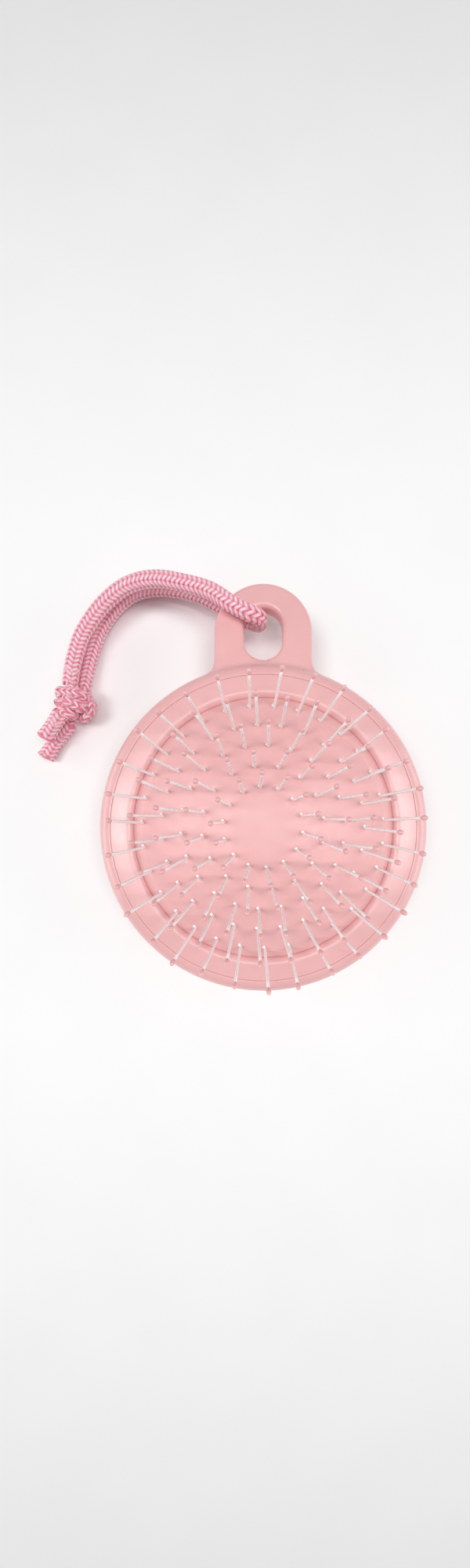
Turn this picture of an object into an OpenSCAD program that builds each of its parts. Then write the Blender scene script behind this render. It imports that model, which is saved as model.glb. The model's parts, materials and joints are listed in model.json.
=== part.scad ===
// Round body brush: ball-tipped pins in a rubber air cushion, clamped in a palm-sized
// housing that hangs from a cord loop.
// It lies on its flat back. +Z runs up through the pins, +Y towards the hanging tab.
// The origin is the centre of the flat back face.

/* [Housing] */
// Widest diameter of the round housing
body_d = 108; // [90:1:130]
// Height of the front face above the flat back
body_h = 18; // [15:0.5:24]
// Thickness of the side wall
wall_t = 2.4; // [1.8:0.1:3]
// Thickness of the back wall
floor_t = 2.4; // [1.6:0.1:3.2]
// Rounding radius of the front lip
lip_r = 5; // [4:0.25:6]
// Rounding radius of the back edge
back_r = 6; // [4:0.5:8]
// Diameter of the air vent through the back
vent_d = 2; // [1.5:0.1:3]
// Distance from the middle of the back to the air vent
vent_offset = 14; // [5:1:25]

/* [Hanging tab] */
// Width of the tab
tab_w = 32.5; // [26:0.5:40]
// Thickness of the tab
tab_t = 5.5; // [4.5:0.5:8.5]
// Depth of the tab's face below the front face
tab_drop = 2.5; // [1.5:0.1:3]
// Distance from the housing's edge to the centre of the tab's round end
tab_reach = 10.2; // [8:0.2:14]
// Rounding radius of the tab's edges
tab_edge_r = 1.8; // [1:0.1:2.5]
// Fillet radius where the tab meets the housing
tab_fillet_r = 5; // [3:0.5:7]
// Width of the cord slot
slot_w = 12.8; // [10:0.1:14]
// Length of the cord slot
slot_len = 17.2; // [14:0.2:20]
// Distance from the centre of the tab's round end out to that of the slot's
slot_shift = 1.8; // [0:0.1:2.5]
// Rounding radius of the slot's edges
slot_edge_r = 1.5; // [0.8:0.1:2]

/* [Retaining ring] */
// Radial width of the ring that clamps the cushion
ring_w = 7; // [5.8:0.2:9]
// Thickness of the ring
ring_t = 3.2; // [2.6:0.1:4]
// Rounding radius of the ring's inner edge
ring_edge_r = 2.2; // [1.2:0.1:2.4]
// Chamfer on each side of the groove round the ring
groove_chamfer = 0.4; // [0.2:0.05:0.6]
// Gap between the ring and the housing
fit_gap = 0.15; // [0.1:0.05:0.3]
// Width of the ledge that carries the ring
ledge_w = 1.2; // [1:0.1:1.6]
// Thickness of the ledge
ledge_t = 2; // [1.5:0.1:2.5]
// Number of snap fingers below the ring
finger_count = 6; // [3:1:8]
// Angle that each snap finger spans
finger_angle = 22; // [12:1:30]
// Thickness of a snap finger
finger_t = 1.2; // [1:0.1:1.6]
// How far a snap finger's barb reaches under the ledge
barb_reach = 0.8; // [0.5:0.1:1.2]

/* [Rubber cushion] */
// Thickness of the rubber
cushion_t = 1.5; // [1.2:0.1:2]
// Height of the dome above its own edge
dome_h = 5; // [3:0.25:7]
// Rounding radius of the cushion's shoulder
shoulder_r = 2; // [1.5:0.1:3]
// Height of the straight neck below the shoulder
neck_h = 0.5; // [0.3:0.1:1]
// Gap between the cushion and the ring round it
cushion_gap = 0.2; // [0.1:0.05:0.4]
// Width of the clamped flange
flange_w = 3.4; // [2.6:0.1:3.8]
// Thickness of the clamped flange
flange_t = 1.6; // [1.2:0.1:2]
// Width of the rib that the flange rests on
rib_w = 2.2; // [1.6:0.1:2.6]

/* [Pins] */
// Number of pin rings
pin_rings = 5; // [5]
// Distance between neighbouring pin rings
ring_pitch = 6.55; // [5.5:0.05:7]
// Distance from the cushion's shoulder to the outer pin ring
edge_margin = 1.2; // [1:0.1:2]
// Diameter of a pin
pin_d = 0.8; // [0.7:0.05:1.1]
// Length of bare pin between the cushion and its ball tip
pin_len = 16; // [12:0.5:19]
// Diameter of the head that holds a pin below the rubber
head_d = 2.4; // [1.8:0.1:3]
// Thickness of that head
head_t = 0.7; // [0.5:0.1:1]
// Diameter of the small collar at a pin's root
collar_d = 1.3; // [1.1:0.1:1.8]
// Height of that collar
collar_h = 0.5; // [0.3:0.1:0.8]
// Gap all round a pin where it passes through the rubber
pin_gap = 0.05; // [0.02:0.01:0.1]
// Gap between the rubber and a pin's head or collar
seat_gap = 0.15; // [0.1:0.05:0.3]

/* [Ball tips] */
// Diameter of a ball tip
tip_d = 1.5; // [1.3:0.1:2]
// Diameter of a tip where it meets the pin
tip_neck_d = 1.1; // [1:0.05:1.3]
// Length of a tip
tip_len = 2.6; // [2:0.1:3.5]
// Depth that a pin reaches into its tip
tip_grip = 1.4; // [1:0.1:1.8]

/* [Cord] */
// Diameter of the braided cord
cord_d = 5.2; // [4:0.1:6]
// Diameter of the overhand knot
knot_d = 14.4; // [12:0.2:18]

/* [Hidden] */
$fn = 96;
arc_steps = 5;
dome_steps = 10;
overlap = 1;

// Spacing of the pins along each ring and the angle of its first pin, inner ring first
pin_spacing = [5.6, 7.4, 7.3, 7.45, 7.8];
pin_phase = [17.6, 8.3, 4.8, 0, 3.6];

// Heights, measured from the front face
body_r = body_d / 2;
ring_bottom = body_h - ring_t;
flange_bottom = ring_bottom - flange_t;
ledge_bottom = ring_bottom - ledge_t;
tab_top = body_h - tab_drop;
tab_bottom = tab_top - tab_t;
tab_centre_y = body_r + tab_reach;
slot_end_y = tab_centre_y + slot_shift;

// Radii, measured from the housing's bore
bore_r = body_r - lip_r;
ledge_in_r = bore_r - ledge_w;
ring_out_r = bore_r - fit_gap;
ring_in_r = bore_r - ring_w;
finger_out_r = ledge_in_r - fit_gap;
finger_in_r = finger_out_r - finger_t;
cushion_r = ring_in_r - cushion_gap;
flange_r = cushion_r + flange_w;
dome_r = cushion_r - shoulder_r;
dome_edge_z = ring_bottom + neck_h + shoulder_r;

// Routes of the cord's centreline
ring_sides = 10;
cord_side = [-0.34, 0.94, 0];
front_route = [
    [-1.1, 69.2, 12.75], [-1.12, 69.05, 13.4], [-1.35, 68.4, 15.3], [-2.4, 68.05, 17.2],
    [-4.6, 68.2, 18.4], [-7.4, 69.4, 18.7], [-10.5, 71.1, 18.6], [-16.7, 75.4, 18],
    [-26.5, 79.2, 16.5], [-34.5, 81.6, 14.8], [-41.5, 82, 13.2], [-48, 80.4, 11.8],
    [-55.3, 75.4, 10.4], [-60, 70.2, 9.5], [-63.2, 65.1, 9], [-65.2, 59.4, 8.7],
    [-66.3, 54.4, 8.7], [-66.8, 49.4, 8.9]
];
back_route = [
    [-1.1, 69.2, 12.75], [-1.08, 69.35, 12.1], [-1.15, 69.6, 10.3], [-1.6, 70.2, 8.9],
    [-2.7, 71.1, 7.6], [-4.6, 72.2, 6.7], [-7.2, 73.8, 6.1], [-10.4, 75.8, 5.6],
    [-16.4, 79.7, 4.9], [-22.5, 83, 4.4], [-29.4, 85.2, 3.8], [-37.7, 86.4, 3.2],
    [-46, 85.2, 2.8], [-52.1, 81.2, 2.7], [-56.4, 76.2, 2.7], [-59.6, 70.8, 2.8],
    [-61.5, 65.6, 3], [-62.9, 60.4, 3.2], [-64, 55.2, 3.5], [-64.9, 49, 4.2]
];
knot_centre = [-65.8, 43.1, knot_d / 2 + 0.3];
upper_tail_route = [[-69.1, 39, 10.3], [-72.4, 35.3, 9], [-75.5, 31.4, 8.2]];
lower_tail_route = [[-70.2, 36.8, 3.1], [-74.5, 31.8, 2.9], [-78.8, 25.6, 2.8]];

// ---- Shapes that several pieces share ----

// Points of an arc about [x, y], from one angle to another
function arc(x, y, r, from, to) =
    [for (i = [0 : arc_steps])
        let (a = from + (to - from) * i / arc_steps)
        [x + r * cos(a), y + r * sin(a)]];

// Height of the cushion's top surface, its slope, and the place of each pin ring
function dome_z(r) = dome_edge_z + dome_h * (1 - pow(r / dome_r, 2));
function dome_tilt(r) = atan(2 * dome_h * r / pow(dome_r, 2));
function pin_ring_r(ring) = dome_r - edge_margin - (pin_rings - ring) * ring_pitch;
function pins_in(ring) = round(2 * PI * pin_ring_r(ring) / pin_spacing[ring - 1]);

// Puts its children at every pin of a ring, square to the dome
module at_pins(ring) {
    r = pin_ring_r(ring);
    count = pins_in(ring);
    for (i = [0 : count - 1])
        rotate([0, 0, pin_phase[ring - 1] + i * 360 / count])
            translate([r, 0, dome_z(r)])
                rotate([0, dome_tilt(r), 0])
                    children();
}

// Sweeps a round section along a route
function unit(v) = v / norm(v);
function heading(route, i) =
    unit(route[min(i + 1, len(route) - 1)] - route[max(i - 1, 0)]);
function end_heading(route, i) =
    i == 0 ? unit(route[1] - route[0])
    : i == len(route) - 1 ? unit(route[i] - route[i - 1])
    : heading(route, i);
function section(route, i, r) =
    let (
        along = end_heading(route, i),
        across = unit(cross(along, cord_side)),
        up = cross(across, along)
    )
    [for (k = [0 : ring_sides - 1])
        route[i] + r * (cos(k * 360 / ring_sides) * across + sin(k * 360 / ring_sides) * up)];

module tube(route, d) {
    rings = len(route);
    points = [for (i = [0 : rings - 1]) each section(route, i, d / 2)];
    sides = [for (i = [0 : rings - 2], k = [0 : ring_sides - 1])
        let (next = (k + 1) % ring_sides, base = i * ring_sides)
        [base + k, base + next, base + ring_sides + next, base + ring_sides + k]];
    first_cap = [for (k = [ring_sides - 1 : -1 : 0]) k];
    last_cap = [for (k = [0 : ring_sides - 1]) (rings - 1) * ring_sides + k];
    polyhedron(points, concat(sides, [first_cap, last_cap]), convexity = 6);
}

// ---- Housing with its tab ----

// The round body before it is hollowed
module body_blank() {
    rotate_extrude()
        polygon(concat(
            [[0, 0]],
            arc(body_r - back_r, back_r, back_r, -90, 0),
            arc(bore_r, body_h - lip_r, lip_r, 0, 90),
            [[0, body_h]]
        ));
}

// Rounded bar section of the tab, from its middle out to one edge
function tab_half_section() =
    concat(
        [[0, tab_bottom]],
        arc(tab_w / 2 - tab_edge_r, tab_bottom + tab_edge_r, tab_edge_r, -90, 0),
        arc(tab_w / 2 - tab_edge_r, tab_top - tab_edge_r, tab_edge_r, 0, 90),
        [[0, tab_top]]
    );

module tab_blank() {
    translate([0, tab_centre_y, 0])
        rotate_extrude()
            polygon(tab_half_section());
    for (side = [0, 1])
        mirror([side, 0, 0])
            translate([0, tab_centre_y, 0])
                rotate([90, 0, 0])
                    linear_extrude(tab_reach + lip_r + wall_t)
                        polygon(tab_half_section());
}

// Fillets between the tab's sides and the round body
module tab_fillets() {
    centre_x = tab_w / 2 + tab_fillet_r;
    centre_y = sqrt(pow(body_r + tab_fillet_r, 2) - pow(centre_x, 2));
    touch_x = centre_x * body_r / (body_r + tab_fillet_r);
    for (side = [0, 1])
        mirror([side, 0, 0])
            translate([0, 0, tab_bottom + tab_edge_r])
                linear_extrude(tab_t - 2 * tab_edge_r)
                    difference() {
                        translate([tab_w / 2 - overlap, centre_y - tab_fillet_r])
                            square([touch_x - tab_w / 2 + overlap, tab_fillet_r]);
                        translate([centre_x, centre_y])
                            circle(tab_fillet_r);
                    }
}

// The slot's cutter flares out at both faces of the tab
function slot_half_section() =
    concat(
        [[0, tab_bottom - overlap], [slot_w / 2 + slot_edge_r, tab_bottom - overlap]],
        arc(slot_w / 2 + slot_edge_r, tab_bottom + slot_edge_r, slot_edge_r, 270, 180),
        arc(slot_w / 2 + slot_edge_r, tab_top - slot_edge_r, slot_edge_r, 180, 90),
        [[slot_w / 2 + slot_edge_r, tab_top + overlap], [0, tab_top + overlap]]
    );

module slot_cutter() {
    straight = slot_len - slot_w;
    for (y = [slot_end_y, slot_end_y - straight])
        translate([0, y, 0])
            rotate_extrude()
                polygon(slot_half_section());
    for (side = [0, 1])
        mirror([side, 0, 0])
            translate([0, slot_end_y, 0])
                rotate([90, 0, 0])
                    linear_extrude(straight)
                        polygon(slot_half_section());
}

// Everything hollow inside the housing: the chamber, the ledge's opening and the bore
module chamber() {
    inner_r = body_r - wall_t;
    corner_r = back_r - wall_t;
    rotate_extrude()
        polygon(concat(
            [[0, floor_t]],
            arc(inner_r - corner_r, floor_t + corner_r, corner_r, -90, 0),
            [
                [inner_r, ledge_bottom],
                [ledge_in_r, ledge_bottom],
                [ledge_in_r, ring_bottom],
                [bore_r, ring_bottom],
                [bore_r, body_h - groove_chamfer],
                [bore_r + groove_chamfer + overlap, body_h + overlap],
                [0, body_h + overlap]
            ]
        ));
}

// The rib that the cushion's flange is pressed onto
module seat_rib() {
    rib_out_r = flange_r;
    rotate_extrude()
        translate([rib_out_r - rib_w, floor_t - overlap])
            square([rib_w, flange_bottom - floor_t + overlap]);
}

module housing() {
    color([0.9, 0.68, 0.69])
        difference() {
            union() {
                difference() {
                    union() {
                        body_blank();
                        tab_blank();
                        tab_fillets();
                    }
                    chamber();
                    slot_cutter();
                }
                seat_rib();
            }
            translate([0, -vent_offset, -overlap])
                cylinder(d = vent_d, h = floor_t + 2 * overlap);
        }
}

// ---- Ring that clamps the cushion ----

module ring_plate() {
    rotate_extrude()
        polygon(concat(
            [
                [ring_in_r, ring_bottom],
                [ring_out_r, ring_bottom],
                [ring_out_r, body_h - groove_chamfer],
                [ring_out_r - groove_chamfer, body_h]
            ],
            arc(ring_in_r + ring_edge_r, body_h - ring_edge_r, ring_edge_r, 90, 180)
        ));
}

// A finger with a sloping barb that hooks under the ledge
module snap_finger() {
    barb_top = ledge_bottom - fit_gap;
    barb_h = 1.6 * barb_reach;
    barb_r = ledge_in_r + barb_reach;
    rotate_extrude(angle = finger_angle)
        polygon([
            [finger_in_r, ring_bottom + overlap],
            [finger_in_r, barb_top - barb_h],
            [finger_out_r, barb_top - barb_h],
            [barb_r, barb_top - 0.3 * barb_h],
            [barb_r, barb_top],
            [finger_out_r, barb_top],
            [finger_out_r, ring_bottom + overlap]
        ]);
}

module retaining_ring() {
    color([0.92, 0.71, 0.72]) {
        ring_plate();
        for (i = [0 : finger_count - 1])
            rotate([0, 0, i * 360 / finger_count])
                snap_finger();
    }
}

// ---- Rubber cushion ----

module cushion_blank() {
    inner_r = cushion_r - cushion_t;
    outer_dome = [for (i = [0 : dome_steps]) let (r = dome_r * i / dome_steps) [r, dome_z(r)]];
    inner_dome = [for (i = [dome_steps : -1 : 0])
        let (r = inner_r * i / dome_steps) [r, dome_z(r) - cushion_t]];
    rotate_extrude()
        polygon(concat(
            outer_dome,
            arc(dome_r, dome_edge_z - shoulder_r, shoulder_r, 72, 0),
            [
                [cushion_r, ring_bottom],
                [flange_r, ring_bottom],
                [flange_r, flange_bottom],
                [inner_r, flange_bottom]
            ],
            inner_dome
        ));
}

module rubber_cushion() {
    color([0.95, 0.74, 0.74])
        difference() {
            cushion_blank();
            for (ring = [1 : pin_rings])
                at_pins(ring)
                    translate([0, 0, -2 * cushion_t])
                        cylinder(d = pin_d + 2 * pin_gap, h = 3 * cushion_t, $fn = 24);
        }
}

// ---- Pins and their ball tips ----

// One moulded pin: head below the rubber, shaft through it, collar on top of it
module pin() {
    head_top = -cushion_t - seat_gap;
    translate([0, 0, head_top - head_t])
        cylinder(d = head_d, h = head_t, $fn = 24);
    translate([0, 0, head_top - head_t])
        cylinder(d = pin_d, h = head_t - head_top + pin_len + tip_grip, $fn = 24);
    translate([0, 0, seat_gap])
        cylinder(d = collar_d, h = collar_h, $fn = 24);
}

// One drop-shaped tip with a socket for the pin's end
module ball_tip() {
    tip_r = tip_d / 2;
    translate([0, 0, pin_len])
        rotate_extrude($fn = 24)
            polygon(concat(
                [[pin_d / 2, 0], [tip_neck_d / 2, 0]],
                arc(0, tip_len - tip_r, tip_r, 0, 90),
                [[0, tip_grip], [pin_d / 2, tip_grip]]
            ));
}

module pins_ring(ring) {
    color([0.93, 0.9, 0.9])
        at_pins(ring)
            pin();
}

module ball_tips(ring) {
    color([0.88, 0.62, 0.65])
        at_pins(ring)
            ball_tip();
}

// ---- Cord ----

module cord(route) {
    color([0.9, 0.55, 0.65])
        tube(route, cord_d);
}

module cord_knot() {
    color([0.9, 0.55, 0.65])
        translate(knot_centre)
            sphere(d = knot_d);
}

housing();
retaining_ring();
rubber_cushion();
pins_ring(1);  // pins_ring_1
pins_ring(2);  // pins_ring_2
pins_ring(3);  // pins_ring_3
pins_ring(4);  // pins_ring_4
pins_ring(5);  // pins_ring_5
ball_tips(1);  // ball_tips_1
ball_tips(2);  // ball_tips_2
ball_tips(3);  // ball_tips_3
ball_tips(4);  // ball_tips_4
ball_tips(5);  // ball_tips_5
cord(front_route);  // cord_front_leg
cord(back_route);  // cord_back_leg
cord_knot();
cord(upper_tail_route);  // cord_upper_tail
cord(lower_tail_route);  // cord_lower_tail
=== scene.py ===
"""Looks of a round body brush with ball-tipped pins, a rubber cushion and a braided cord loop.

Every length below is in millimetres unless its name ends in _m, because that is how the
brush is drawn. Meshes are written in metres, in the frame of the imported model, where the
brush lies on its flat back with its pins up (+Z) and its hanging tab towards +Y.
"""

import json
import logging
import math
from collections.abc import Callable, Iterable, Sequence
from dataclasses import dataclass, field, replace
from enum import Enum

import bmesh
import bpy
import numpy as np
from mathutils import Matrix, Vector


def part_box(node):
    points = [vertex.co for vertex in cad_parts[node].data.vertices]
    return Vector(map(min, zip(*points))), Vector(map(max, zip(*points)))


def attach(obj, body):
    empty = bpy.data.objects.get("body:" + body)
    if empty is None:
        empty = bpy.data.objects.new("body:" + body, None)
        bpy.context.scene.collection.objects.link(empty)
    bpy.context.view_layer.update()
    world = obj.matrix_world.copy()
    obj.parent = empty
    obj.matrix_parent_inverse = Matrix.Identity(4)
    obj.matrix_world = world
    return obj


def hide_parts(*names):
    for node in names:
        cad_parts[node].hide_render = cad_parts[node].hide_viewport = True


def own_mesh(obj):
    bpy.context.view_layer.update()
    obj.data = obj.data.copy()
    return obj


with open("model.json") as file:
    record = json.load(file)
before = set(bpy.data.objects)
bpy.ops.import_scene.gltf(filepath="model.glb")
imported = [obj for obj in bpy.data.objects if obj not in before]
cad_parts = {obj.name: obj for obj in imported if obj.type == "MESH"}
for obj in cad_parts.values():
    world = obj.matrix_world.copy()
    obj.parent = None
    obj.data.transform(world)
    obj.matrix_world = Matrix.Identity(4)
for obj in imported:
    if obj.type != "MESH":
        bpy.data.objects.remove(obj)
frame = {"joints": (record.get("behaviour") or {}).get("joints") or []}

MM = 0.001
LOG = logging.getLogger("body_brush")
Colour = tuple[float, float, float]


class Slot(str, Enum):
    """The record's material slots."""

    SHELL = "shell_plastic"
    RING = "ring_plastic"
    RUBBER = "cushion_rubber"
    NYLON = "pin_nylon"
    RESIN = "tip_resin"
    BRAID = "braid_cord"


class Body(str, Enum):
    """The moving groups of the frame that are named one by one."""

    HOUSING = "housing_body"

    @staticmethod
    def pins(ring: int) -> str:
        """Returns the body that carries one ring of pins."""
        return f"pin_ring_{ring}"


# ---- Mesh helpers ----


def arc(x: float, y: float, r: float, start: float, end: float, steps: int = 8) -> list:
    """Gives points on an arc.

    Args:
        x, y: centre of the arc.
        r: its radius.
        start, end: angles in degrees.
        steps: number of chords.

    Returns:
        A list of (x, y) points from start to end.
    """
    turns = np.radians(np.linspace(start, end, steps + 1))
    return [(x + r * math.cos(t), y + r * math.sin(t)) for t in turns]


def lathe(profile: Sequence, segments: int, closed: bool = False) -> tuple:
    """Turns a profile of (radius, height) points round the Z axis.

    Args:
        profile: the points, in order. Points on the axis become single poles.
        segments: number of steps round the axis.
        closed: whether the last point joins the first, as in a ring.

    Returns:
        The points as an array, and the faces as a list of index tuples.
    """
    turns = np.arange(segments) * 2 * math.pi / segments
    points, rows = [], []
    for r, z in profile:
        if r < 1e-6:
            rows.append(np.full(segments, len(points)))
            points.append((0.0, 0.0, z))
        else:
            rows.append(len(points) + np.arange(segments))
            points.extend((r * math.cos(t), r * math.sin(t), z) for t in turns)
    pairs = list(zip(rows, rows[1:]))
    if closed:
        pairs.append((rows[-1], rows[0]))
    faces = []
    for low, high in pairs:
        for a, b, c, d in zip(low, np.roll(low, -1), np.roll(high, -1), high):
            face = tuple(dict.fromkeys((int(a), int(b), int(c), int(d))))
            if len(face) > 2:
                faces.append(face)
    return np.array(points), faces


def join(*shells: tuple) -> tuple:
    """Returns several (points, faces) shells as one."""
    points, faces, start = [], [], 0
    for shell_points, shell_faces in shells:
        points.append(np.asarray(shell_points, float))
        faces.extend(tuple(int(i) + start for i in face) for face in shell_faces)
        start += len(shell_points)
    return np.concatenate(points), faces


def add_object(name: str, data: bpy.types.ID) -> bpy.types.Object:
    """Returns a new object that holds the data, linked to the scene at the origin."""
    made = bpy.data.objects.new(name, data)
    bpy.context.scene.collection.objects.link(made)
    return made


def build_mesh(name: str, shell: tuple, sharp_degrees: float = 40.0) -> bpy.types.Object:
    """Makes a shaded object from points in millimetres.

    Args:
        name: the object's name.
        shell: points and faces.
        sharp_degrees: edges that bend more than this stay crisp.

    Returns:
        The linked object, at the origin, with its faces pointing outwards.
    """
    points, faces = shell
    mesh = bpy.data.meshes.new(name)
    mesh.from_pydata((np.asarray(points) * MM).tolist(), [], faces)
    work = bmesh.new()
    work.from_mesh(mesh)
    bmesh.ops.recalc_face_normals(work, faces=work.faces[:])
    work.to_mesh(mesh)
    work.free()
    mesh.polygons.foreach_set("use_smooth", [True] * len(mesh.polygons))
    mesh.set_sharp_from_angle(angle=math.radians(sharp_degrees))
    mesh.update()
    return add_object(name, mesh)


def surface_net(solid: Callable, low: Sequence, high: Sequence, pitch: float) -> tuple:
    """Meshes the surface of a solid that is given as a signed distance.

    Args:
        solid: takes an (n, 3) array and returns n distances, negative inside.
        low, high: corners of the box that is searched.
        pitch: spacing of the grid.

    Returns:
        Points that lie on the surface, and quads that face outwards.
    """
    axes = [np.arange(low[i], high[i] + pitch, pitch) for i in range(3)]
    grid = np.stack(np.meshgrid(*axes, indexing="ij"), -1)
    value = solid(grid.reshape(-1, 3)).reshape(grid.shape[:3])
    inside = value < 0
    n = [len(a) - 1 for a in axes]
    corners = sum(
        inside[i : n[0] + i, j : n[1] + j, k : n[2] + k].astype(int)
        for i in (0, 1)
        for j in (0, 1)
        for k in (0, 1)
    )
    crossed = (corners > 0) & (corners < 8)
    index = -np.ones(crossed.shape, int)
    index[crossed] = np.arange(crossed.sum())
    points = grid[:-1, :-1, :-1][crossed] + pitch / 2
    quads = []
    for axis in range(3):
        along = np.diff(inside.astype(int), axis=axis)
        starts = np.argwhere(along != 0)
        u, v = (axis + 1) % 3, (axis + 2) % 3
        keep = (starts[:, u] > 0) & (starts[:, v] > 0)
        keep &= (starts[:, u] < n[u]) & (starts[:, v] < n[v])
        starts = starts[keep]
        leaves = along[tuple(starts.T)] < 0
        ring = []
        for du, dv in ((1, 1), (0, 1), (0, 0), (1, 0)):
            cell = starts.copy()
            cell[:, u] -= du
            cell[:, v] -= dv
            ring.append(index[tuple(cell.T)])
        quad = np.stack(ring, 1)
        quad[~leaves] = quad[~leaves][:, ::-1]
        quads.append(quad)
    quads = np.concatenate(quads)
    for relax in (0.6, 0.6, 0.3, 0.0):
        points = settle(solid, spread_evenly(points, quads, relax), pitch)
    return points, [tuple(int(i) for i in q) for q in quads]


def spread_evenly(points: np.ndarray, quads: np.ndarray, share: float) -> np.ndarray:
    """Returns the points moved by a share of the way to the middle of their neighbours."""
    total = np.zeros_like(points)
    count = np.zeros(len(points))
    for a in range(4):
        b = (a + 1) % 4
        np.add.at(total, quads[:, a], points[quads[:, b]])
        np.add.at(total, quads[:, b], points[quads[:, a]])
        np.add.at(count, quads[:, a], 1)
        np.add.at(count, quads[:, b], 1)
    return points + share * (total / np.maximum(count, 1)[:, None] - points)


def settle(solid: Callable, points: np.ndarray, pitch: float) -> np.ndarray:
    """Returns the points moved onto the solid's surface, each by at most one pitch."""
    step = 0.02 * pitch
    moved = points.copy()
    for _ in range(3):
        slope = np.stack(
            [
                (solid(moved + step * e) - solid(moved - step * e)) / (2 * step)
                for e in np.eye(3)
            ],
            1,
        )
        length = np.maximum((slope**2).sum(1), 0.1)
        push = -slope * (solid(moved) / length)[:, None]
        moved += np.clip(push, -pitch / 2, pitch / 2)
    return moved


# ---- Signed distances ----


def round_union(a: np.ndarray, b: np.ndarray, r: float) -> np.ndarray:
    """Returns the distance to two joined solids, with a fillet of radius r between them."""
    near = np.hypot(np.maximum(r - a, 0), np.maximum(r - b, 0))
    return np.maximum(r, np.minimum(a, b)) - near


def round_overlap(a: np.ndarray, b: np.ndarray, r: float) -> np.ndarray:
    """Returns the distance to what two solids share, with its new edge rounded by r."""
    near = np.hypot(np.maximum(r + a, 0), np.maximum(r + b, 0))
    return np.minimum(-r, np.maximum(a, b)) + near


def capsule(p: np.ndarray, y0: float, y1: float, r: float) -> np.ndarray:
    """Returns the plan distance to a bar with round ends along Y."""
    return np.hypot(p[:, 0], p[:, 1] - np.clip(p[:, 1], y0, y1)) - r


# ---- Materials ----


def linear(colour: Colour) -> tuple:
    """Returns a display colour as the linear RGBA that shaders take."""
    return tuple(
        c / 12.92 if c <= 0.04045 else ((c + 0.055) / 1.055) ** 2.4 for c in colour
    ) + (1.0,)


class NodeWriter:
    """A node tree under construction, with short calls that add and feed its nodes."""

    tree: bpy.types.NodeTree

    def node(self, kind: str, inputs: dict | None = None, **settings: object) -> bpy.types.Node:
        """Adds a node.

        Args:
            kind: the node's type.
            inputs: input name or number to a value or to the socket that feeds it.
            settings: properties of the node itself.

        Returns:
            The node.
        """
        made = self.tree.nodes.new(kind)
        for key, value in settings.items():
            setattr(made, key, value)
        for key, value in (inputs or {}).items():
            self.feed(made.inputs[key], value)
        return made

    def feed(self, socket: bpy.types.NodeSocket, value: object) -> None:
        """Gives a socket its value, or links it to the socket that feeds it."""
        if isinstance(value, bpy.types.NodeSocket):
            self.tree.links.new(value, socket)
        else:
            socket.default_value = value


class Shader(NodeWriter):
    """A material under construction, with short calls for the nodes that it needs."""

    def __init__(self, name: str) -> None:
        """Starts an empty material with one Principled shader."""
        self.material = bpy.data.materials.new(name)
        self.material.use_nodes = True
        self.tree = self.material.node_tree
        self.surface = self.tree.nodes["Principled BSDF"]
        self.place = self.tree.nodes.new("ShaderNodeTexCoord").outputs["Object"]

    def noise(self, size_mm: float, detail: float = 3.0, coords: object = None) -> object:
        """Returns a noise value whose lumps are about size_mm across."""
        inputs = {"Vector": coords or self.place, "Scale": 1 / (size_mm * MM), "Detail": detail}
        return self.node("ShaderNodeTexNoise", inputs).outputs["Fac"]

    def ramp(self, value: object, low: float, high: float, a: float, b: float) -> object:
        """Returns value mapped from low..high to a..b, and held there beyond them."""
        inputs = {"Value": value, "From Min": low, "From Max": high, "To Min": a, "To Max": b}
        return self.node("ShaderNodeMapRange", inputs).outputs["Result"]

    def mix(self, factor: object, a: object, b: object) -> object:
        """Returns a colour between a, at factor 0, and b, at factor 1."""
        inputs = {0: factor, 6: a, 7: b}
        return self.node("ShaderNodeMix", inputs, data_type="RGBA").outputs[2]

    def bump(self, height: object, depth_mm: float, under: object = None) -> object:
        """Returns a normal roughened by a height from 0 to 1, depth_mm deep."""
        inputs = {"Height": height, "Distance": depth_mm * MM, "Strength": 1.0}
        if under is not None:
            inputs["Normal"] = under
        return self.node("ShaderNodeBump", inputs).outputs["Normal"]

    def set(self, **values: object) -> None:
        """Sets or links the Principled shader's own sockets, with _ for each space."""
        for key, value in values.items():
            self.feed(self.surface.inputs[key.replace("_", " ")], value)


@dataclass(frozen=True)
class MouldedFinish:
    """A moulded plastic, rubber or resin: colour, soft mottling, grain and gloss."""

    name: str
    colour: Colour
    shade: Colour
    roughness: float
    gloss_spread: float = 0.06
    mottle_mm: float = 14.0
    grain_mm: float = 0.35
    grain_depth_mm: float = 0.006
    wave_mm: float = 9.0
    wave_depth_mm: float = 0.03
    subsurface: float = 0.0
    subsurface_mm: float = 1.5
    coat: float = 0.0
    specular: float = 0.5

    def build(self) -> bpy.types.Material:
        """Returns the material."""
        s = Shader(self.name)
        patches = s.ramp(s.noise(self.mottle_mm), 0.35, 0.65, 0.0, 1.0)
        specks = s.noise(self.grain_mm, 2.0)
        waves = s.noise(self.wave_mm, 1.0)
        grain = s.bump(specks, self.grain_depth_mm, s.bump(waves, self.wave_depth_mm))
        low, high = self.roughness - self.gloss_spread, self.roughness + self.gloss_spread
        s.set(
            Base_Color=s.mix(patches, linear(self.colour), linear(self.shade)),
            Roughness=s.ramp(s.noise(self.mottle_mm / 3), 0.3, 0.7, low, high),
            Normal=grain,
            Subsurface_Weight=self.subsurface,
            Subsurface_Scale=self.subsurface_mm * MM,
            Coat_Weight=self.coat,
            Coat_Roughness=0.12,
            Specular_IOR_Level=self.specular,
            IOR=1.46,
        )
        return s.material


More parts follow.
